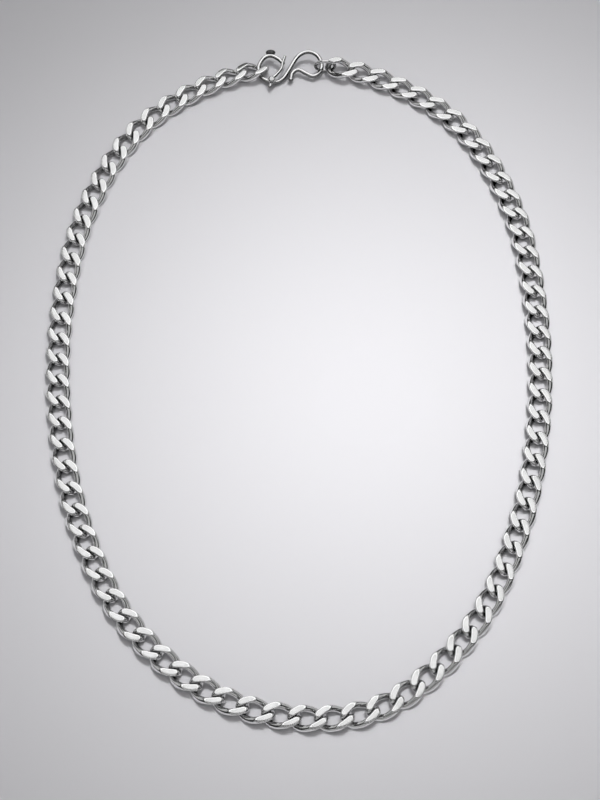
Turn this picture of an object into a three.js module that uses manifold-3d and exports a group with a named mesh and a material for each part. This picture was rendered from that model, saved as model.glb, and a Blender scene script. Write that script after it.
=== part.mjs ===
// Curb chain necklace, fastened and lying open in an oval on a flat surface.
// Millimetres, +Z up. z = 0 is the surface, and the clasp is at the far end, +Y.
import * as THREE from "three";
import { mergeVertices } from "three/addons/utils/BufferGeometryUtils.js";
import Module from "manifold-3d";

const wasm = await Module();
wasm.setup();

// Chain
const LINK_COUNT = 79;
const RIGHT_LINKS = 40;
const LINK_PITCH = 6.69;
const LINK_LENGTH = 10.6;
const LINK_WIDTH = 7.1;
const LINK_WIRE = 1.85;
const LINK_TWIST = THREE.MathUtils.degToRad(50);
const LINK_SQUARENESS = 0.9;
const CHAIN_HEIGHT = 2.9;
const CROWN_RADIUS = 40;
// A section counts as ground where its face lies below this share of the wire's reach
const GROUND_REACH = 0.96;
const LINK_STEPS = 12;
const WIRE_SIDES = 6;
const RUNNING_GAP = 0.3;
// Where one link's end bears on the next, the two are fused by a seat this wide and this long
const SEAT = { width: 0.5, length: 1.0 };

// The loop's centre line on the surface, as a closed smooth curve through these points
const LOOP = [
  { x: 65.9, y: -14.7 },
  { x: 58.9, y: -48.3 },
  { x: 44.1, y: -79.2 },
  { x: 18.1, y: -100.9 },
  { x: -15.6, y: -99.4 },
  { x: -42.8, y: -79.2 },
  { x: -58.7, y: -48.9 },
  { x: -66.1, y: -15.4 },
  { x: -67.3, y: 18.9 },
  { x: -61.8, y: 52.8 },
  { x: -45.9, y: 83.0 },
  { x: -17.2, y: 100.7 },
  { x: 16.8, y: 101.2 },
  { x: 45.8, y: 83.8 },
  { x: 61.6, y: 53.5 },
  { x: 66.8, y: 19.6 },
];
const LOOP_SAMPLES = 3200;
// Distance along the loop from its first point to the middle of the first link right of the clasp
const FIRST_LINK_AT = 408.1;
// Brings the middle of the whole necklace's box to x = 0, y = 0
const MIDDLE_SHIFT = { x: 0.222, y: -1.078 };

// The links next to the clasp lean and are lifted by it, less with each link
const LEFT_END = { links: 4, roll: THREE.MathUtils.degToRad(-14), lift: 0.75, pitch: 0 };
const RIGHT_END = { links: 3, roll: 0, lift: 1.1, pitch: THREE.MathUtils.degToRad(8) };

// Clasp: an S-shaped hook of round wire in one plane, which leans up away from -Y
const HOOK_WIRE = 1.3;
const HOOK_TILT = THREE.MathUtils.degToRad(14);
const HOOK_BASE = { y: 97.9, z: 1.2 };
const HOOK_ROUTE = [
  { x: -5.3, y: 6.3 },
  { x: -6.6, y: 7.7 },
  { x: -9.1, y: 8.8 },
  { x: -11.4, y: 7.6 },
  { x: -12.7, y: 4.4 },
  { x: -11.3, y: 1.3 },
  { x: -8.0, y: 0.0 },
  { x: -5.4, y: 1.0 },
  { x: -3.4, y: 4.0 },
  { x: -1.3, y: 7.7 },
  { x: 0.6, y: 9.5 },
  { x: 3.0, y: 10.0 },
  { x: 5.4, y: 8.7 },
  { x: 6.6, y: 6.0 },
  { x: 6.1, y: 3.4 },
  { x: 4.1, y: 2.0 },
  { x: 1.9, y: 2.9 },
  { x: -0.5, y: 4.1 },
  { x: -2.3, y: 3.0 },
  { x: -2.8, y: 0.9 },
];
const HOOK_STEPS = 46;
const HOOK_SIDES = 8;
const BALL_RADIUS = 0.8;
const KNOB = { x: -9.0, y: 9.75, z: 0.15, length: 3.0, width: 1.7, height: 1.5 };

// Gate of the clasp: it turns about a post on the hook, above the hook's plane
const POST = { x: -8.6, y: 0.0, radius: 0.4, head_radius: 1.0, head_height: 0.4 };
const GATE = { wire: 1.0, knuckle_radius: 1.25, thickness: 0.9, hole_radius: 0.7 };
const GATE_HEIGHT = HOOK_WIRE / 2 + RUNNING_GAP + GATE.thickness / 2;
const GATE_ROUTE = [
  { x: -9.1, y: -2.0 },
  { x: -8.6, y: 0.0 },
  { x: -7.2, y: 1.9 },
  { x: -5.7, y: 3.9 },
  { x: -5.3, y: 5.8 },
  { x: -4.6, y: 7.9 },
];
const GATE_STEPS = 12;

// Ring that joins the hook to the chain, standing nearly upright
const RING = { x: 7.65, y: 102.4, mean_radius: 2.95, wire: 1.0, lean: THREE.MathUtils.degToRad(12) };
const RING_STEPS = 16;

const STEEL = { color: 0xc9cacc, roughness: 0.12, metalness: 1 };

function solidFrom(geometry) {
  const bare = geometry.clone();
  bare.deleteAttribute("normal");
  bare.deleteAttribute("uv");
  const merged = mergeVertices(bare, 1e-5);
  const mesh = new wasm.Mesh({
    numProp: 3,
    vertProperties: new Float32Array(merged.attributes.position.array),
    triVerts: new Uint32Array(merged.index.array),
  });
  return new wasm.Manifold(mesh);
}

function geometryFrom(solid) {
  const mesh = solid.getMesh();
  const geometry = new THREE.BufferGeometry();
  geometry.setAttribute("position", new THREE.BufferAttribute(mesh.vertProperties, 3));
  geometry.setIndex(new THREE.BufferAttribute(mesh.triVerts, 1));
  geometry.computeVertexNormals();
  return geometry;
}

function namedMesh(name, geometry) {
  const mesh = new THREE.Mesh(geometry, new THREE.MeshStandardMaterial(STEEL));
  mesh.name = name;
  return mesh;
}

// A point of a link's wire centre line: an oval whose ends are twisted opposite ways about X
function linkCentre(angle) {
  const reachX = (LINK_LENGTH - LINK_WIRE) / 2;
  const reachY = (LINK_WIDTH - LINK_WIRE) / 2;
  const x = reachX * Math.sign(Math.cos(angle)) * Math.abs(Math.cos(angle)) ** LINK_SQUARENESS;
  const y = reachY * Math.sign(Math.sin(angle)) * Math.abs(Math.sin(angle)) ** LINK_SQUARENESS;
  const twist = (-LINK_TWIST * x) / reachX;
  return new THREE.Vector3(x, y * Math.cos(twist), y * Math.sin(twist));
}

// Corner turns of a wire section whose middle is at this height and which reaches this far up
// and down: a hexagon's, with two of them moved to the edges of the face where it is ground
function sectionTurns(height, reach) {
  const quarter = Math.PI / 2;
  const room = CHAIN_HEIGHT / 2 - Math.abs(height);
  const ground = room < GROUND_REACH * reach;
  const onFace = ground ? Math.asin(room / reach) : quarter / 3;
  const between = (quarter - onFace) / 2;
  const upper = height > 0 ? onFace : between;
  const lower = height > 0 ? between : onFace;
  return [upper, quarter, Math.PI - upper, Math.PI + lower, 3 * quarter, -lower];
}

// One link about its own middle: round wire, ground flat below and to a shallow crown on top
function linkGeometry(wireRadius) {
  const positions = [];
  const index = [];
  const up = new THREE.Vector3(0, 0, 1);
  for (let step = 0; step < LINK_STEPS; step += 1) {
    const angle = ((step + 0.5) * 2 * Math.PI) / LINK_STEPS;
    const centre = linkCentre(angle);
    const tangent = linkCentre(angle + 0.01).sub(linkCentre(angle - 0.01)).normalize();
    const side = new THREE.Vector3().crossVectors(tangent, up).normalize();
    const rise = new THREE.Vector3().crossVectors(side, tangent);
    for (const turn of sectionTurns(centre.z, wireRadius * rise.z)) {
      const point = centre.clone();
      point.addScaledVector(side, wireRadius * Math.cos(turn));
      point.addScaledVector(rise, wireRadius * Math.sin(turn));
      const top = CHAIN_HEIGHT / 2 - (point.y * point.y) / (2 * CROWN_RADIUS);
      const height = Math.min(Math.max(point.z, -CHAIN_HEIGHT / 2), top);
      positions.push(point.x, point.y, height);
    }
  }
  for (let step = 0; step < LINK_STEPS; step += 1) {
    const next = (step + 1) % LINK_STEPS;
    for (let corner = 0; corner < WIRE_SIDES; corner += 1) {
      const other = (corner + 1) % WIRE_SIDES;
      const a = step * WIRE_SIDES + corner;
      const b = next * WIRE_SIDES + corner;
      const c = next * WIRE_SIDES + other;
      const d = step * WIRE_SIDES + other;
      index.push(a, b, c, a, c, d);
    }
  }
  const geometry = new THREE.BufferGeometry();
  geometry.setAttribute("position", new THREE.Float32BufferAttribute(positions, 3));
  geometry.setIndex(index);
  return geometry;
}

// The loop as closely spaced points with the distance along it
function loopTable() {
  const points = LOOP.map((p) => new THREE.Vector3(p.x, p.y, 0));
  const curve = new THREE.CatmullRomCurve3(points, true, "catmullrom", 0.5);
  const rows = [];
  let travelled = 0;
  for (let i = 0; i <= LOOP_SAMPLES; i += 1) {
    const point = curve.getPoint(i / LOOP_SAMPLES);
    if (i > 0) travelled += point.distanceTo(rows[i - 1].point);
    rows.push({ point, travelled });
  }
  return rows;
}

function pointAlong(table, distance) {
  const total = table[table.length - 1].travelled;
  const wanted = ((distance % total) + total) % total;
  let i = 1;
  while (table[i].travelled < wanted) i += 1;
  const before = table[i - 1];
  const share = (wanted - before.travelled) / (table[i].travelled - before.travelled);
  return before.point.clone().lerp(table[i].point, share);
}

// How far a link takes part in the lean next to the clasp: 1 for the end link, 0 past the last
function endShare(fromEnd, end) {
  return Math.max(0, 1 - fromEnd / end.links);
}

// Where link number i lies, counted clockwise from the clasp
function linkPlace(table, i) {
  const middle = FIRST_LINK_AT + i * LINK_PITCH;
  const head = pointAlong(table, middle - LINK_PITCH / 2);
  const tail = pointAlong(table, middle + LINK_PITCH / 2);
  const heading = Math.atan2(tail.y - head.y, tail.x - head.x);
  const right = endShare(i, RIGHT_END);
  const left = endShare(LINK_COUNT - 1 - i, LEFT_END);
  const place = new THREE.Object3D();
  place.position.copy(head).add(tail).multiplyScalar(0.5);
  place.position.z = CHAIN_HEIGHT / 2 + right * RIGHT_END.lift + left * LEFT_END.lift;
  place.rotation.order = "ZYX";
  place.rotation.z = heading;
  place.rotation.y = right * RIGHT_END.pitch + left * LEFT_END.pitch;
  place.rotation.x = right * RIGHT_END.roll + left * LEFT_END.roll;
  place.updateMatrix();
  return place.matrix;
}

function linkSolid(table, i, wireRadius) {
  return solidFrom(linkGeometry(wireRadius).applyMatrix4(linkPlace(table, i)));
}

// The seat between link i - 1 and link i
function seatSolid(table, i) {
  const seat = new THREE.BoxGeometry(SEAT.length, SEAT.width, SEAT.width);
  seat.translate(-LINK_PITCH / 2, 0, 0);
  return solidFrom(seat.applyMatrix4(linkPlace(table, i)));
}

function chainSolid(table, first, count) {
  let chain = linkSolid(table, first, LINK_WIRE / 2);
  for (let i = first + 1; i < first + count; i += 1) {
    chain = chain.add(linkSolid(table, i, LINK_WIRE / 2)).add(seatSolid(table, i));
  }
  return chain;
}

function polygon(radius, sides) {
  const corners = [];
  for (let i = 0; i < sides; i += 1) {
    const turn = ((i + 0.5) * 2 * Math.PI) / sides;
    corners.push(new THREE.Vector2(radius * Math.cos(turn), radius * Math.sin(turn)));
  }
  return new THREE.Shape(corners);
}

function wireAlong(route, height, wire, sides, steps) {
  const points = route.map((p) => new THREE.Vector3(p.x, p.y, height));
  const path = new THREE.CatmullRomCurve3(points, false, "catmullrom", 0.5);
  return new THREE.ExtrudeGeometry(polygon(wire / 2, sides), { steps, extrudePath: path });
}

// An upright round bar, its foot at the given height
function bar(x, y, foot, radius, height, sides) {
  const geometry = new THREE.CylinderGeometry(radius, radius, height, sides);
  geometry.rotateX(Math.PI / 2);
  geometry.translate(x, y, foot + height / 2);
  return geometry;
}

// The hook with the ball on its tail, the knob on its eye and the gate's headed post
function hookGeometry() {
  const wire = wireAlong(HOOK_ROUTE, 0, HOOK_WIRE, HOOK_SIDES, HOOK_STEPS);
  const tail = HOOK_ROUTE[HOOK_ROUTE.length - 1];
  const ball = new THREE.SphereGeometry(BALL_RADIUS, 8, 6).translate(tail.x, tail.y, 0);
  const knob = new THREE.SphereGeometry(0.5, 10, 6).rotateX(Math.PI / 2);
  knob.scale(KNOB.length, KNOB.width, KNOB.height).translate(KNOB.x, KNOB.y, KNOB.z);
  const headFoot = GATE_HEIGHT + GATE.thickness / 2 + RUNNING_GAP;
  const post = bar(POST.x, POST.y, 0, POST.radius, headFoot + POST.head_height / 2, 8);
  const head = bar(POST.x, POST.y, headFoot, POST.head_radius, POST.head_height, 10);
  let hook = solidFrom(wire);
  for (const piece of [ball, knob, post, head]) hook = hook.add(solidFrom(piece));
  return geometryFrom(hook);
}

// The gate: a wire with a flat knuckle that turns on the post, and a short tail beyond it
function gateGeometry() {
  const wire = wireAlong(GATE_ROUTE, GATE_HEIGHT, GATE.wire, 6, GATE_STEPS);
  const foot = GATE_HEIGHT - GATE.thickness / 2;
  const knuckle = bar(POST.x, POST.y, foot, GATE.knuckle_radius, GATE.thickness, 12);
  const hole = bar(POST.x, POST.y, foot - 1, GATE.hole_radius, GATE.thickness + 2, 10);
  return geometryFrom(solidFrom(wire).add(solidFrom(knuckle)).subtract(solidFrom(hole)));
}

function ringGeometry() {
  const ring = new THREE.TorusGeometry(RING.mean_radius, RING.wire / 2, 6, RING_STEPS);
  return geometryFrom(solidFrom(ring));
}

function build() {
  const necklace = new THREE.Group();
  const table = loopTable();

  const meetingLink = linkSolid(table, RIGHT_LINKS, LINK_WIRE / 2 + RUNNING_GAP);
  const rightSolid = chainSolid(table, 0, RIGHT_LINKS).subtract(meetingLink);
  const leftSolid = chainSolid(table, RIGHT_LINKS, LINK_COUNT - RIGHT_LINKS);
  necklace.add(namedMesh("chain_right", geometryFrom(rightSolid)));
  necklace.add(namedMesh("chain_left", geometryFrom(leftSolid)));

  const clasp = new THREE.Group();
  clasp.position.set(0, HOOK_BASE.y, HOOK_BASE.z);
  clasp.rotation.x = HOOK_TILT;
  clasp.add(namedMesh("s_hook", hookGeometry()));
  clasp.add(namedMesh("clasp_gate", gateGeometry()));
  necklace.add(clasp);

  const ring = namedMesh("jump_ring", ringGeometry());
  const outer = RING.mean_radius + RING.wire / 2;
  ring.position.set(RING.x, RING.y, outer);
  ring.rotation.x = Math.PI / 2 + RING.lean;
  necklace.add(ring);

  necklace.position.set(MIDDLE_SHIFT.x, MIDDLE_SHIFT.y, 0);
  return necklace;
}

const group = build();

export default group;
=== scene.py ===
"""Curb chain necklace, fastened and lying open in an oval on a pale surface.

Lengths are in millimetres until a mesh is made. The camera's clipping, the lights, the surface and
all Blender objects are in metres.
"""
import math

import bpy
import numpy as np
from mathutils import Matrix, Vector


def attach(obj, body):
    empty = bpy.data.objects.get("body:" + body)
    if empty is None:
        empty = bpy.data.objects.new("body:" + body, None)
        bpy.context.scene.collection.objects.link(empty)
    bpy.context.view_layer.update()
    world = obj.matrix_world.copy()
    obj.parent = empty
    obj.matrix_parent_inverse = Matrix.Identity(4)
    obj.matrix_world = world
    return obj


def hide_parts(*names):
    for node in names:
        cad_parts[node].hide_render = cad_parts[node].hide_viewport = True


MM = 0.001

# Chain
LINK_COUNT = 79
RIGHT_LINKS = 40
LINK_PITCH = 6.69
LINK_LENGTH = 10.6
LINK_WIDTH = 7.1
LINK_WIRE = 1.9
LINK_TWIST = math.radians(50)
LINK_SQUARENESS = 0.9
CHAIN_HEIGHT = 2.9
CROWN_RADIUS = 40
LINK_STEPS = 64
TANGENT_STEP = 0.01

# A wire section is two ground faces with rounded edges, and two round sides between them
FACE_POINTS = 6
SIDE_POINTS = 7
HALF_SECTION = FACE_POINTS + SIDE_POINTS
NARROWEST_FACE = math.radians(84)

# Rounded edges: their width, the most of half a face that they take, and their drop below the face
EDGE_ROUNDING = 0.24
EDGE_ROUNDING_SHARE = 0.3
EDGE_DROP = 0.05

# The loop's centre line, as a closed smooth curve through these points
LOOP = [
    (65.9, -14.7),
    (58.9, -48.3),
    (44.1, -79.2),
    (18.1, -100.9),
    (-15.6, -99.4),
    (-42.8, -79.2),
    (-58.7, -48.9),
    (-66.1, -15.4),
    (-67.3, 18.9),
    (-61.8, 52.8),
    (-45.9, 83.0),
    (-17.2, 100.7),
    (16.8, 101.2),
    (45.8, 83.8),
    (61.6, 53.5),
    (66.8, 19.6),
]
LOOP_SAMPLES = 3200
FIRST_LINK_AT = 408.1
MIDDLE_SHIFT = Vector((0.222, -1.078, 0))

# The links next to the clasp lean and are lifted by it, less with each link
LEFT_END = {"links": 4, "roll": math.radians(-14), "lift": 0.75, "pitch": 0}
RIGHT_END = {"links": 3, "roll": 0, "lift": 1.1, "pitch": math.radians(8)}

# Hook of the clasp, in its own leaning plane
HOOK_WIRE = 1.3
HOOK_TILT = math.radians(14)
HOOK_BASE = Vector((0, 97.9, 1.2))
HOOK_ROUTE = [
    (-5.3, 6.3),
    (-6.6, 7.7),
    (-9.1, 8.8),
    (-11.4, 7.6),
    (-12.7, 4.4),
    (-11.3, 1.3),
    (-8.0, 0.0),
    (-5.4, 1.0),
    (-3.4, 4.0),
    (-1.3, 7.7),
    (0.6, 9.5),
    (3.0, 10.0),
    (5.4, 8.7),
    (6.6, 6.0),
    (6.1, 3.4),
    (4.1, 2.0),
    (1.9, 2.9),
    (-0.5, 4.1),
    (-2.3, 3.0),
    (-2.8, 0.9),
]
HOOK_STEPS = 220
HOOK_SIDES = 24
BALL_RADIUS = 0.8
BALL_ROWS = 13
BALL_SIDES = 24

# Knob on the hook's eye: its profile as (radius, height) shares of its size
KNOB_AT = Vector((-9.0, 9.75, 0.15))
KNOB_SIZE = (3.0, 1.7, 1.5)
KNOB_PROFILE = [
    (0, -0.5),
    (0.31, -0.47),
    (0.43, -0.36),
    (0.485, -0.18),
    (0.5, 0.02),
    (0.48, 0.2),
    (0.42, 0.36),
    (0.3, 0.46),
    (0.15, 0.49),
    (0, 0.5),
]
KNOB_SIDES = 40

# Post that the gate turns on. Its head's crown is (share of the radius, depth below the top).
POST_AT = Vector((-8.6, 0.0, 0.0))
POST_RADIUS = 0.4
POST_HEAD_RADIUS = 1.0
POST_HEAD_HEIGHT = 0.4
POST_HEAD_EDGE = 0.08
POST_HEAD_CROWN = [(0.8, 0.08), (0.45, 0.01)]
POST_SIDES = 32

# Gate: a holed knuckle, a short tail and an arm
GATE_WIRE = 1.0
GATE_THICKNESS = 0.9
GATE_KNUCKLE_RADIUS = 1.25
GATE_HOLE_RADIUS = 0.7
RUNNING_GAP = 0.3
GATE_HEIGHT = HOOK_WIRE / 2 + RUNNING_GAP + GATE_THICKNESS / 2
GATE_EDGE = 0.12
GATE_TAPER = 0.18
GATE_TAIL = [(-9.1, -2.0), (-8.89, -1.16)]
GATE_ARM = [
    (-8.07, 1.08),
    (-7.2, 1.9),
    (-5.7, 3.9),
    (-5.3, 5.8),
    (-4.6, 7.9),
]
GATE_KNUCKLE_SIDES = 40
GATE_WIRE_SIDES = 20
GATE_TAIL_STEPS = 12
GATE_ARM_STEPS = 60

# Jump ring
RING_AT = Vector((7.65, 102.4, 0))
RING_MEAN_RADIUS = 2.95
RING_WIRE = 1.0
RING_LEAN = math.radians(12)
RING_STEPS = 72
RING_SIDES = 20

# A tube's domed end has this many rows from its tip to its rim
DOME_ROWS = 5

# Camera: where it looks on the surface, how far off and how high it stands, and its lens
LOOKS_AT = Vector((0.0, -11.2, 0.0)) + MIDDLE_SHIFT
CAMERA_DISTANCE = 487.84
CAMERA_ELEVATION = math.radians(62)
CAMERA_LENS = 79.38
SENSOR_WIDTH = 36.0
CAMERA_NEAREST = 0.01
CAMERA_FARTHEST = 20

# Panel lights: name, place, target, width, height, radiance
LIGHTING_PANELS = [
    ("front_panel", (0.0, -1.0, 0.36), (0.0, 0.0, 0.0), 2.0, 0.56, 0.38),
    ("high_front_panel", (0.0, -0.42, 0.80), (0.0, 0.0, 0.0), 1.3, 0.36, 0.42),
]
# Panels that are only seen in the polished faces and don't light the surface
REFLECTED_PANELS = [
    ("softbox", (0.015, 0.385, 0.62), (0.015, 0.3851, 0.0), 0.70, 0.83, 1.05),
    ("back_panel", (0.0, 0.85, 0.48), (0.0, 0.1, 0.0), 0.90, 0.28, 1.00),
    ("left_panel", (-0.95, 0.45, 0.50), (0.0, 0.0, 0.0), 1.2, 0.80, 0.40),
    ("right_panel", (0.95, 0.45, 0.50), (0.0, 0.0, 0.0), 1.2, 0.80, 0.40),
]
# A panel and a spot that no polished face reflects: soft light on the surface and its bright middle
OVERHEAD_PANEL = ("overhead_panel", (0.08, 0.15, 0.60), (0.08, 0.1501, 0.0), 0.80, 0.80, 0.91)
POOL_PLACE = (0.08, 0.16, 0.54)
POOL_TARGET = (0.020, -0.010, 0.0)
POOL_POWER = 15.6
POOL_CONE = math.radians(25)
POOL_SOFTNESS = 0.11
WORLD_GREY = 0.04
WORLD_WARMTH = -0.01

# Surface
FLOOR_COLOUR = (0.797, 0.789, 0.818, 1.0)
FLOOR_ROUGHNESS = 0.7
FLOOR_SPECULAR = 0.2
FLOOR_SIZE = 6.0
FLOOR_DROP = 0.00002

# Painted shade darkens a link's wire where it is closer than this to the next link's wire
CREVICE_SHADE_REACH = 0.9
CREVICE_SAMPLES = 240

# Painted shade darkens wire where it doesn't face up: its normal's rise where that starts, and where
# it is full
CLASP_FLANK_SHADE = (0.90, 0.66)
RING_FLANK_SHADE = (0.60, 0.05)
LINK_FLANK_SHADE = (0.32, 0.05)

# Each link reads its finish this far along from the last one's, so that no two look alike
FINISH_STEP = 17.0

# The sockets of a mix node that are for colours
MIX_SHARE = 0
MIX_FIRST = 6
MIX_SECOND = 7
MIX_RESULT = 2


def spline_point(points, closed, share):
    """A point at this share of the way along a uniform Catmull-Rom curve."""
    count = len(points)
    place = share * (count if closed else count - 1)
    start = math.floor(place)
    if not closed:
        start = min(start, count - 2)
    weight = place - start
    p1 = points[start % count]
    p2 = points[(start + 1) % count]
    p0 = points[(start - 1) % count] if closed or start > 0 else 2 * p1 - p2
    p3 = points[(start + 2) % count] if closed or start + 2 < count else 2 * p2 - p1
    t0 = (p2 - p0) / 2
    t1 = (p3 - p1) / 2
    square = weight * weight
    cube = square * weight
    return (
        (2 * cube - 3 * square + 1) * p1
        + (cube - 2 * square + weight) * t0
        + (3 * square - 2 * cube) * p2
        + (cube - square) * t1
    )


def loop_table():
    """Closely spaced points of the loop, with the distance along it."""
    points = [np.array(point) for point in LOOP]
    shares = np.arange(LOOP_SAMPLES + 1) / LOOP_SAMPLES
    rows = np.array([spline_point(points, True, share) for share in shares])
    steps = np.linalg.norm(np.diff(rows, axis=0), axis=1)
    return rows, np.concatenate([[0], np.cumsum(steps)])


def point_along(table, distance):
    """The point of the loop at this distance along it."""
    rows, travelled = table
    wanted = distance % travelled[-1]
    return np.array([np.interp(wanted, travelled, rows[:, axis]) for axis in (0, 1)])


def end_share(from_end, end):
    """How much of an end's lean a link has: all of it at the clasp, and none past its last link."""
    return max(0, 1 - from_end / end["links"])


def link_place(table, number):
    """The matrix that lays link `number` in the loop, counted clockwise from the clasp."""
    middle = FIRST_LINK_AT + number * LINK_PITCH
    head = point_along(table, middle - LINK_PITCH / 2)
    tail = point_along(table, middle + LINK_PITCH / 2)
    heading = math.atan2(tail[1] - head[1], tail[0] - head[0])
    right = end_share(number, RIGHT_END)
    left = end_share(LINK_COUNT - 1 - number, LEFT_END)
    centre = (head + tail) / 2
    height = CHAIN_HEIGHT / 2 + right * RIGHT_END["lift"] + left * LEFT_END["lift"]
    pitch = right * RIGHT_END["pitch"] + left * LEFT_END["pitch"]
    roll = right * RIGHT_END["roll"] + left * LEFT_END["roll"]
    place = Matrix.Translation(Vector((centre[0], centre[1], height)) + MIDDLE_SHIFT)
    turn = Matrix.Rotation(heading, 4, "Z") @ Matrix.Rotation(pitch, 4, "Y")
    turn = turn @ Matrix.Rotation(roll, 4, "X")
    return place @ turn


def link_centre(angle):
    """A point of a link's wire centre line: an oval whose ends are twisted opposite ways."""
    reach_x = (LINK_LENGTH - LINK_WIRE) / 2
    reach_y = (LINK_WIDTH - LINK_WIRE) / 2
    cosine, sine = math.cos(angle), math.sin(angle)
    x = reach_x * math.copysign(abs(cosine) ** LINK_SQUARENESS, cosine)
    y = reach_y * math.copysign(abs(sine) ** LINK_SQUARENESS, sine)
    twist = -LINK_TWIST * x / reach_x
    return Vector((x, y * math.cos(twist), y * math.sin(twist)))


def face_points(turn, height, ground):
    """Points across one face of a wire section, from its edge at +side to the one at -side."""
    radius = LINK_WIRE / 2
    half = radius * math.cos(turn)
    inner = half - min(EDGE_ROUNDING, EDGE_ROUNDING_SHARE * half)
    across = [half, inner, inner / 3, -inner / 3, -inner, -half]
    if ground:
        drop = EDGE_DROP * (half - inner) / EDGE_ROUNDING
        return [(u, height - drop if abs(u) == half else height) for u in across]
    return [(u, math.sqrt(radius * radius - u * u)) for u in across]


def wire_section(centre_height, rise_z):
    """A wire section's outline as (side, rise) pairs, and which of its two faces is ground."""
    radius = LINK_WIRE / 2
    faces = []
    for sign in (1, -1):
        room = CHAIN_HEIGHT / 2 - sign * centre_height
        ground = room < radius * rise_z
        turn = NARROWEST_FACE
        if ground:
            turn = min(turn, math.asin(room / (radius * rise_z)))
        faces.append((turn, room / rise_z, ground))
    (upper, upper_height, upper_ground), (lower, lower_height, lower_ground) = faces
    step = EDGE_ROUNDING / radius
    right = np.linspace(-lower + step, upper - step, SIDE_POINTS)
    sides = [(radius * math.cos(turn), radius * math.sin(turn)) for turn in right]
    outline = face_points(upper, upper_height, upper_ground)
    outline += [(-u, v) for u, v in reversed(sides)]
    outline += [(-u, -v) for u, v in face_points(lower, lower_height, lower_ground)]
    outline += sides
    return outline, (upper_ground, lower_ground)


def ring_faces(rings, corners, closed):
    """Quads between neighbouring rings of points, and from the last ring to the first if closed."""
    faces = []
    for ring in range(rings if closed else rings - 1):
        here = ring * corners
        there = (ring + 1) % rings * corners
        for corner in range(corners):
            other = (corner + 1) % corners
            faces.append((here + corner, there + corner, there + other, here + other))
    return faces


def link_template():
    """One link about its own middle: points, quads, which quads are ground, and edge marks."""
    up = Vector((0, 0, 1))
    points, edges, grounds = [], [], []
    for step in range(LINK_STEPS):
        angle = step * 2 * math.pi / LINK_STEPS
        centre = link_centre(angle)
        along = link_centre(angle + TANGENT_STEP) - link_centre(angle - TANGENT_STEP)
        tangent = along.normalized()
        side = tangent.cross(up).normalized()
        rise = side.cross(tangent)
        outline, ground = wire_section(centre.z, rise.z)
        for index, (u, v) in enumerate(outline):
            point = centre + u * side + v * rise
            if index < FACE_POINTS and ground[0]:
                point.z -= point.y * point.y / (2 * CROWN_RADIUS)
            points.append(point)
            face, across = divmod(index, HALF_SECTION)
            near_edge = ground[face] and across in (0, 1, FACE_POINTS - 2, FACE_POINTS - 1)
            edges.append(1.0 if near_edge else 0.0)
        grounds.append(ground)
    ground_quads = []
    for step in range(LINK_STEPS):
        following = (step + 1) % LINK_STEPS
        for corner in range(2 * HALF_SECTION):
            face, across = divmod(corner, HALF_SECTION)
            both = grounds[step][face] and grounds[following][face]
            ground_quads.append(across < FACE_POINTS - 1 and both)
    quads = ring_faces(LINK_STEPS, 2 * HALF_SECTION, True)
    return np.array(points), np.array(quads), np.array(ground_quads), np.array(edges)


def crevice_shade_marks(points):
    """How deep in the hollow between two links each point lies, for painted shade: 1 where they all
    but touch.
    """
    angles = np.linspace(0, 2 * math.pi, CREVICE_SAMPLES, endpoint=False)
    centre_line = np.array([link_centre(angle) for angle in angles])
    marks = np.zeros(len(points))
    for shift in (-LINK_PITCH, LINK_PITCH):
        line = centre_line + np.array([shift, 0, 0])
        nearest = np.min(np.linalg.norm(points[:, None, :] - line[None, :, :], axis=2), axis=1)
        clearance = nearest - LINK_WIRE / 2
        marks = np.maximum(marks, np.clip(1 - clearance / CREVICE_SHADE_REACH, 0, 1))
    return marks


def new_piece(name, points, faces, places, material_list, face_materials=None, marks=None):
    """A smooth-shaded mesh object in metres. Its finish is read at `places`, in millimetres."""
    mesh = bpy.data.meshes.new(name)
    mesh.from_pydata([tuple(point * MM) for point in points], [], faces)
    mesh.attributes.new("place_mm", "FLOAT_VECTOR", "POINT").data.foreach_set(
        "vector", np.asarray(places, dtype=np.float32).ravel()
    )
    for mark, values in (marks or {}).items():
        mesh.attributes.new(mark, "FLOAT", "POINT").data.foreach_set(
            "value", np.asarray(values, dtype=np.float32)
        )
    for material in material_list:
        mesh.materials.append(material)
    if face_materials is not None:
        mesh.polygons.foreach_set("material_index", np.asarray(face_materials, dtype=np.int32))
    mesh.shade_smooth()
    mesh.validate()
    mesh.update()
    piece = bpy.data.objects.new(name, mesh)
    bpy.context.scene.collection.objects.link(piece)
    return piece


def mark_shaded_flanks(piece, start, full):
    """Marks where a piece's surface doesn't face up, for painted shade: 0 on top, 1 on its flanks and
    underside.
    """
    mesh = piece.data
    normals = np.empty(3 * len(mesh.vertices), dtype=np.float32)
    mesh.vertex_normals.foreach_get("vector", normals)
    steepness = (start - normals.reshape(-1, 3)[:, 2]) / (start - full)
    marks = np.clip(steepness, 0, 1).astype(np.float32)
    mesh.attributes.new("flank_shade", "FLOAT", "POINT").data.foreach_set("value", marks)


def make_chain(name, node, first, count, table, materials):
    """The links of one stretch of the chain as one piece."""
    points, quads, ground_quads, edges = link_template()
    crevice_shades = crevice_shade_marks(points)
    all_points, all_quads, all_places = [], [], []
    for index in range(count):
        place = np.array(link_place(table, first + index))
        all_points.append(points @ place[:3, :3].T + place[:3, 3])
        all_quads.append(quads + index * len(points))
        all_places.append(points + np.array([FINISH_STEP * (first + index), 0, 0]))
    piece = new_piece(
        name,
        np.concatenate(all_points),
        np.concatenate(all_quads).tolist(),
        np.concatenate(all_places),
        materials,
        np.tile(ground_quads.astype(int), count),
        {"edge": np.tile(edges, count), "crevice_shade": np.tile(crevice_shades, count)},
    )
    mark_shaded_flanks(piece, *LINK_FLANK_SHADE)
    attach(piece, "necklace")
    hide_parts(node)


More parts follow.
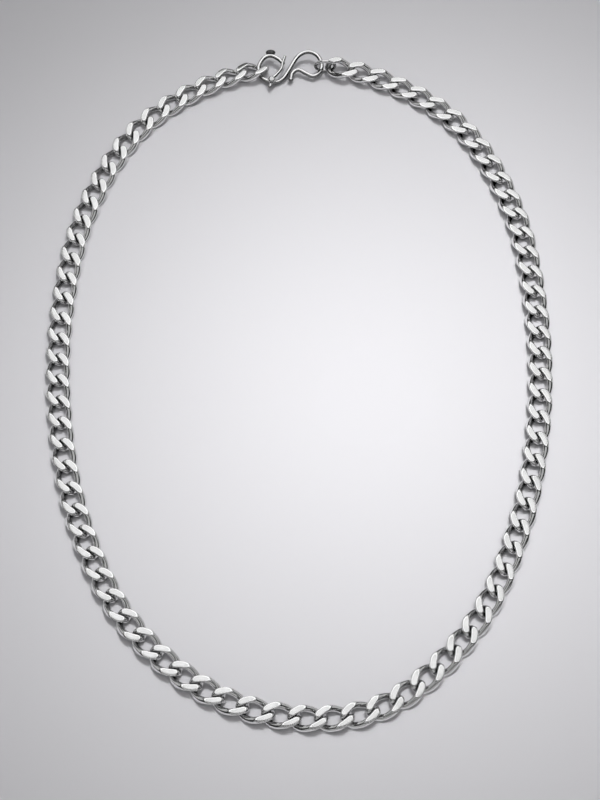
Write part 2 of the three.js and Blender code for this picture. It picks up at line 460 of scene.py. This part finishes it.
def tube(route, height, radii, steps, sides):
    """A round tube along a smooth flat route, with domed ends. radii(share) is its radius."""
    points = [np.array([x, y, height]) for x, y in route]
    shares = np.linspace(0, 1, steps + 1)
    line = np.array([spline_point(points, False, share) for share in shares])
    tangents = np.gradient(line, axis=0)
    tangents /= np.linalg.norm(tangents, axis=1)[:, None]
    up = np.array([0.0, 0.0, 1.0])
    first_radius, last_radius = radii(0), radii(1)
    dome = np.linspace(0, math.pi / 2, DOME_ROWS)[1:-1]
    rings = []
    for turn in dome:
        centre = line[0] - tangents[0] * first_radius * math.cos(turn)
        rings.append((centre, tangents[0], first_radius * math.sin(turn)))
    for share, centre, tangent in zip(shares, line, tangents):
        rings.append((centre, tangent, radii(share)))
    for turn in reversed(dome):
        centre = line[-1] + tangents[-1] * last_radius * math.cos(turn)
        rings.append((centre, tangents[-1], last_radius * math.sin(turn)))
    vertices = []
    for centre, tangent, radius in rings:
        side = np.cross(tangent, up)
        for corner in range(sides):
            turn = corner * 2 * math.pi / sides
            vertices.append(centre + radius * (math.cos(turn) * side + math.sin(turn) * up))
    faces = ring_faces(len(rings), sides, False)
    first_tip, last_tip = len(vertices), len(vertices) + 1
    vertices.append(line[0] - tangents[0] * first_radius)
    vertices.append(line[-1] + tangents[-1] * last_radius)
    last_ring = (len(rings) - 1) * sides
    for corner in range(sides):
        other = (corner + 1) % sides
        faces.append((first_tip, corner, other))
        faces.append((last_tip, last_ring + other, last_ring + corner))
    return np.array(vertices), faces


def turned(profile, centre, sides, stretch=(1, 1, 1)):
    """A solid of revolution about +Z from (radius, height) rows that start and end on the axis."""
    vertices = [np.array([0, 0, profile[0][1]])]
    for radius, height in profile[1:-1]:
        for corner in range(sides):
            turn = corner * 2 * math.pi / sides
            vertices.append(np.array([radius * math.cos(turn), radius * math.sin(turn), height]))
    vertices.append(np.array([0, 0, profile[-1][1]]))
    rows = len(profile) - 2
    last = len(vertices) - 1
    top = 1 + (rows - 1) * sides
    faces = []
    for corner in range(sides):
        other = (corner + 1) % sides
        faces.append((0, 1 + other, 1 + corner))
        for row in range(rows - 1):
            below = 1 + row * sides
            above = below + sides
            faces.append((below + corner, below + other, above + other, above + corner))
        faces.append((last, top + corner, top + other))
    return np.array(vertices) * np.array(stretch) + np.array(centre), faces


def swept(profile, centre, sides):
    """A ring about +Z from a closed (radius, height) profile."""
    vertices = []
    for corner in range(sides):
        turn = corner * 2 * math.pi / sides
        for radius, height in profile:
            vertices.append(np.array([radius * math.cos(turn), radius * math.sin(turn), height]))
    return np.array(vertices) + np.array(centre), ring_faces(sides, len(profile), True)


def joined(*solids):
    """Several (points, faces) as one."""
    points, faces = [], []
    for solid_points, solid_faces in solids:
        start = sum(len(earlier) for earlier in points)
        points.append(solid_points)
        faces += [tuple(index + start for index in face) for face in solid_faces]
    return np.concatenate(points), faces


def place_solid(solid, place):
    """A solid moved by a matrix."""
    points, faces = solid
    matrix = np.array(place)
    return points @ matrix[:3, :3].T + matrix[:3, 3], faces


def clasp_place():
    """The matrix that leans the clasp's plane and sets it on the links that it holds."""
    lean = Matrix.Rotation(HOOK_TILT, 4, "X")
    return Matrix.Translation(HOOK_BASE + MIDDLE_SHIFT) @ lean


def clasp_piece(name, solid, material, body, node=None):
    """A piece given in the clasp's own leaning plane."""
    points, faces = place_solid(solid, clasp_place())
    piece = new_piece(name, points, faces, solid[0], [material])
    mark_shaded_flanks(piece, *CLASP_FLANK_SHADE)
    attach(piece, body)
    if node:
        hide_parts(node)


def hook_radius(share):
    """The hook's wire is as thick all along."""
    return HOOK_WIRE / 2


def make_hook(material):
    """The S-shaped hook with the ball on its tail."""
    wire = tube(HOOK_ROUTE, 0.0, hook_radius, HOOK_STEPS, HOOK_SIDES)
    turns = np.linspace(-math.pi / 2, math.pi / 2, BALL_ROWS)
    profile = [(BALL_RADIUS * math.cos(turn), BALL_RADIUS * math.sin(turn)) for turn in turns]
    tail = HOOK_ROUTE[-1]
    ball = turned(profile, (tail[0], tail[1], 0), BALL_SIDES)
    clasp_piece("hook", joined(wire, ball), material, "necklace", "s_hook")


def make_knob(material):
    """The oval knob on the far side of the hook's eye."""
    knob = turned(KNOB_PROFILE, KNOB_AT, KNOB_SIDES, KNOB_SIZE)
    clasp_piece("hook_knob", knob, material, "necklace")


def make_post(material):
    """The headed post that the gate turns on."""
    head_foot = GATE_HEIGHT + GATE_THICKNESS / 2 + RUNNING_GAP
    top = head_foot + POST_HEAD_HEIGHT
    profile = [
        (0, 0),
        (POST_RADIUS, 0),
        (POST_RADIUS, head_foot),
        (POST_HEAD_RADIUS - POST_HEAD_EDGE, head_foot),
        (POST_HEAD_RADIUS, head_foot + POST_HEAD_EDGE),
        (POST_HEAD_RADIUS, head_foot + 2 * POST_HEAD_EDGE),
    ]
    profile += [(share * POST_HEAD_RADIUS, top - depth) for share, depth in POST_HEAD_CROWN]
    profile.append((0, top))
    clasp_piece("gate_post", turned(profile, POST_AT, POST_SIDES), material, "necklace")


def gate_tail_radius(share):
    """The gate's tail is as thick all along."""
    return GATE_WIRE / 2


def gate_arm_radius(share):
    """The gate's arm tapers towards its tip."""
    return GATE_WIRE / 2 * (1 - GATE_TAPER * share)


def make_gate(material):
    """The gate: a holed knuckle with a short tail and a tapering arm."""
    half = GATE_THICKNESS / 2
    edge = GATE_EDGE
    profile = [
        (GATE_HOLE_RADIUS, -half + edge),
        (GATE_HOLE_RADIUS + edge, -half),
        (GATE_KNUCKLE_RADIUS - edge, -half),
        (GATE_KNUCKLE_RADIUS, -half + edge),
        (GATE_KNUCKLE_RADIUS, half - edge),
        (GATE_KNUCKLE_RADIUS - edge, half),
        (GATE_HOLE_RADIUS + edge, half),
        (GATE_HOLE_RADIUS, half - edge),
    ]
    knuckle = swept(profile, (POST_AT.x, POST_AT.y, GATE_HEIGHT), GATE_KNUCKLE_SIDES)
    tail = tube(GATE_TAIL, GATE_HEIGHT, gate_tail_radius, GATE_TAIL_STEPS, GATE_WIRE_SIDES)
    arm = tube(GATE_ARM, GATE_HEIGHT, gate_arm_radius, GATE_ARM_STEPS, GATE_WIRE_SIDES)
    clasp_piece("gate", joined(knuckle, tail, arm), material, "gate", "clasp_gate")


def make_ring(material):
    """The ring that joins the hook to the chain, standing nearly upright."""
    half = RING_WIRE / 2
    tilts = [corner * 2 * math.pi / RING_SIDES for corner in range(RING_SIDES)]
    profile = [(RING_MEAN_RADIUS + half * math.cos(tilt), half * math.sin(tilt)) for tilt in tilts]
    ring = swept(profile, (0, 0, 0), RING_STEPS)
    lift = Vector((0, 0, RING_MEAN_RADIUS + half))
    place = Matrix.Translation(RING_AT + MIDDLE_SHIFT + lift)
    place = place @ Matrix.Rotation(math.pi / 2 + RING_LEAN, 4, "X")
    points, faces = place_solid(ring, place)
    piece = new_piece("ring", points, faces, ring[0], [material])
    mark_shaded_flanks(piece, *RING_FLANK_SHADE)
    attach(piece, "necklace")
    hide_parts("jump_ring")


class Finish:
    """A node material that starts from one shader and grows by small steps."""

    def __init__(self, name, **settings):
        self.material = bpy.data.materials.new(name)
        self.material.use_nodes = True
        self.tree = self.material.node_tree
        self.shader = next(node for node in self.tree.nodes if node.type == "BSDF_PRINCIPLED")
        for socket, value in settings.items():
            self.put(socket.replace("_", " "), value)

    def node(self, kind, **inputs):
        made = self.tree.nodes.new(kind)
        for socket, value in inputs.items():
            self.set(made.inputs[socket.replace("_", " ")], value)
        return made

    def set(self, socket, value):
        """Links a node's output to a socket, or writes a plain value there."""
        if isinstance(value, bpy.types.NodeSocket):
            self.tree.links.new(value, socket)
        else:
            socket.default_value = value

    def put(self, name, value):
        """Sets one of the shader's own sockets."""
        self.set(self.shader.inputs[name], value)

    def place(self, stretch=(1, 1, 1)):
        """The millimetre places of the piece, stretched."""
        attribute = self.node("ShaderNodeAttribute")
        attribute.attribute_name = "place_mm"
        mapping = self.node("ShaderNodeMapping", Vector=attribute.outputs["Vector"], Scale=stretch)
        return mapping.outputs["Vector"]

    def noise(self, vector, scale, detail=3.0):
        made = self.node("ShaderNodeTexNoise", Vector=vector, Scale=scale, Detail=detail)
        return made.outputs["Fac"]

    def mark(self, name):
        """One of the marks on the piece's points."""
        attribute = self.node("ShaderNodeAttribute")
        attribute.attribute_name = name
        return attribute.outputs["Fac"]

    def spread(self, value, low=0.0, high=1.0, start=0.3, end=0.7):
        """A value between start and end as one between low and high."""
        made = self.node("ShaderNodeMapRange", Value=value)
        made.inputs["From Min"].default_value = start
        made.inputs["From Max"].default_value = end
        made.inputs["To Min"].default_value = low
        made.inputs["To Max"].default_value = high
        return made.outputs["Result"]

    def combine(self, operation, first, second):
        made = self.tree.nodes.new("ShaderNodeMath")
        made.operation = operation
        self.set(made.inputs[0], first)
        self.set(made.inputs[1], second)
        return made.outputs["Value"]

    def colours(self, share, first, second):
        """The first colour where share is 0 and the second where it is 1."""
        made = self.tree.nodes.new("ShaderNodeMix")
        made.data_type = "RGBA"
        self.set(made.inputs[MIX_SHARE], share)
        self.set(made.inputs[MIX_FIRST], first)
        self.set(made.inputs[MIX_SECOND], second)
        return made.outputs[MIX_RESULT]

    def bump(self, height, strength, distance_mm, below=None):
        """A bumped normal, on top of another one if that is given."""
        distance = distance_mm * MM
        made = self.node("ShaderNodeBump", Height=height, Strength=strength, Distance=distance)
        if below:
            self.set(made.inputs["Normal"], below)
        return made.outputs["Normal"]


def grey(level, warmth=0.0):
    return (level * (1 + warmth), level, level * (1 - warmth), 1.0)


def wire_finish(name, low, high, painted_shade):
    """Bright polished wire, with faint drawing lines, small scratches and painted shade on the marked
    areas.
    """
    finish = Finish(name, Metallic=1.0)
    broad = finish.noise(finish.place(), scale=0.9)
    fine = finish.noise(finish.place(), scale=9.0, detail=4.0)
    colour = finish.colours(finish.spread(broad), grey(low), grey(high))
    # Painted shade: each marked area darkens towards its own grey
    for mark, shade_grey in painted_shade.items():
        depth = finish.spread(finish.mark(mark), high=0.9, start=0.3, end=0.95)
        colour = finish.colours(depth, colour, grey(shade_grey))
    finish.put("Base Color", colour)
    finish.put("Roughness", finish.spread(fine, low=0.04, high=0.11))
    waves = finish.bump(broad, strength=0.25, distance_mm=0.06)
    finish.put("Normal", finish.bump(fine, strength=0.12, distance_mm=0.008, below=waves))
    return finish.material


def ground_finish(name):
    """The ground faces of the links: flatter and a touch softer, with hairlines along the chain."""
    finish = Finish(name, Metallic=1.0)
    broad = finish.noise(finish.place(), scale=0.35, detail=2.0)
    hairs = finish.noise(finish.place(stretch=(0.7, 9.0, 1.0)), scale=3.0, detail=4.0)
    colour = finish.colours(finish.spread(broad), grey(0.70), grey(0.81))
    # Painted highlight: the rounded rims of the ground faces are painted near white
    rim_highlight = finish.spread(finish.mark("edge"), start=0.55, end=0.95)
    finish.put("Base Color", finish.colours(rim_highlight, colour, grey(0.98)))
    worn_rough = finish.combine("MULTIPLY", finish.mark("edge"), 0.08)
    rough = finish.combine("ADD", finish.spread(hairs, low=0.13, high=0.24), worn_rough)
    finish.put("Roughness", rough)
    waves = finish.bump(broad, strength=0.25, distance_mm=0.03)
    finish.put("Normal", finish.bump(hairs, strength=0.15, distance_mm=0.004, below=waves))
    return finish.material


def knob_shade_finish(name):
    """The clasp's knob, with painted shade: its colour is near black."""
    finish = Finish(name, Metallic=1.0)
    grain = finish.noise(finish.place(), scale=4.0, detail=4.0)
    finish.put("Base Color", finish.colours(finish.spread(grain), grey(0.05), grey(0.13)))
    finish.put("Roughness", finish.spread(grain, low=0.22, high=0.4))
    finish.put("Normal", finish.bump(grain, strength=0.3, distance_mm=0.02))
    return finish.material


def floor_finish():
    return Finish(
        "pale_surface",
        Base_Color=FLOOR_COLOUR,
        Roughness=FLOOR_ROUGHNESS,
        Specular_IOR_Level=FLOOR_SPECULAR,
    ).material


def make_floor():
    """The surface that the necklace lies on, a hair below it."""
    half = FLOOR_SIZE / 2
    mesh = bpy.data.meshes.new("surface")
    corners = [(-half, -half, 0), (half, -half, 0), (half, half, 0), (-half, half, 0)]
    mesh.from_pydata(corners, [], [(0, 1, 2, 3)])
    mesh.materials.append(floor_finish())
    floor = bpy.data.objects.new("surface", mesh)
    floor.location.z = -FLOOR_DROP
    bpy.context.scene.collection.objects.link(floor)


def aim(thing, target):
    """Turns a lamp or camera to face a point."""
    direction = Vector(target) - thing.location
    thing.rotation_euler = direction.to_track_quat("-Z", "Y").to_euler()


def make_light(name, kind, place, target, power, **settings):
    """A lamp of this power, in watts, that faces its target."""
    light = bpy.data.lights.new(name, kind)
    light.energy = power
    for setting, value in settings.items():
        setattr(light, setting, value)
    lamp = bpy.data.objects.new(name, light)
    lamp.location = place
    bpy.context.scene.collection.objects.link(lamp)
    aim(lamp, target)
    return lamp


def make_panel(name, place, target, width, height, radiance):
    """A soft rectangular light that is this bright where a polished face reflects it."""
    power = radiance * math.pi * width * height
    shape = {"shape": "RECTANGLE", "size": width, "size_y": height}
    return make_light(name, "AREA", place, target, power, **shape)


def make_lights():
    for row in LIGHTING_PANELS:
        make_panel(*row)
    for row in REFLECTED_PANELS:
        make_panel(*row).visible_diffuse = False
    make_panel(*OVERHEAD_PANEL).visible_glossy = False
    pool = make_light(
        "pool",
        "SPOT",
        POOL_PLACE,
        POOL_TARGET,
        POOL_POWER,
        spot_size=POOL_CONE,
        spot_blend=1.0,
        shadow_soft_size=POOL_SOFTNESS,
    )
    pool.visible_glossy = False


def make_world():
    world = bpy.data.worlds.new("studio")
    world.use_nodes = True
    background = world.node_tree.nodes["Background"]
    background.inputs["Color"].default_value = grey(WORLD_GREY, WORLD_WARMTH)
    background.inputs["Strength"].default_value = 1.0
    bpy.context.scene.world = world


def make_camera():
    camera = bpy.data.cameras.new("camera")
    camera.lens = CAMERA_LENS
    camera.sensor_width = SENSOR_WIDTH
    camera.clip_start = CAMERA_NEAREST
    camera.clip_end = CAMERA_FARTHEST
    holder = bpy.data.objects.new("camera", camera)
    back = Vector((0, -math.cos(CAMERA_ELEVATION), math.sin(CAMERA_ELEVATION)))
    holder.location = (LOOKS_AT + back * CAMERA_DISTANCE) * MM
    bpy.context.scene.collection.objects.link(holder)
    aim(holder, LOOKS_AT * MM)
    bpy.context.scene.camera = holder


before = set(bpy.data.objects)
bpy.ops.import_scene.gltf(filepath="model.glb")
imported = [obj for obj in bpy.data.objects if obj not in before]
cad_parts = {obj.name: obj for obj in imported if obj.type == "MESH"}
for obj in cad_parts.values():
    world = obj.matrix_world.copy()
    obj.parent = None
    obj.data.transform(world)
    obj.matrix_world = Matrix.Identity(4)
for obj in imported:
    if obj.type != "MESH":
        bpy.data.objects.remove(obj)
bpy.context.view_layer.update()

make_camera()
make_world()
make_lights()
make_floor()

# The marked areas of the wires get painted shade: darker on flanks and undersides, near black between
# links
link_wire = wire_finish("polished_wire", low=0.82, high=0.90, painted_shade={"flank_shade": 0.25, "crevice_shade": 0.04})
link_finishes = [link_wire, ground_finish("ground_faces")]
clasp_wire = wire_finish("clasp_wire", low=0.84, high=0.92, painted_shade={"flank_shade": 0.12})
# Painted shade: the post is a dimmer copy of the clasp's wire finish
post_shaded_metal = wire_finish("post_shaded_metal", low=0.55, high=0.65, painted_shade={"flank_shade": 0.20})

table = loop_table()
left_links = LINK_COUNT - RIGHT_LINKS
make_chain("links_right", "chain_right", 0, RIGHT_LINKS, table, link_finishes)
make_chain("links_left", "chain_left", RIGHT_LINKS, left_links, table, link_finishes)
make_hook(clasp_wire)
make_knob(knob_shade_finish("knob_painted_shade"))
make_post(post_shaded_metal)
make_gate(clasp_wire)
make_ring(clasp_wire)

bpy.context.scene.view_settings.view_transform = "Standard"
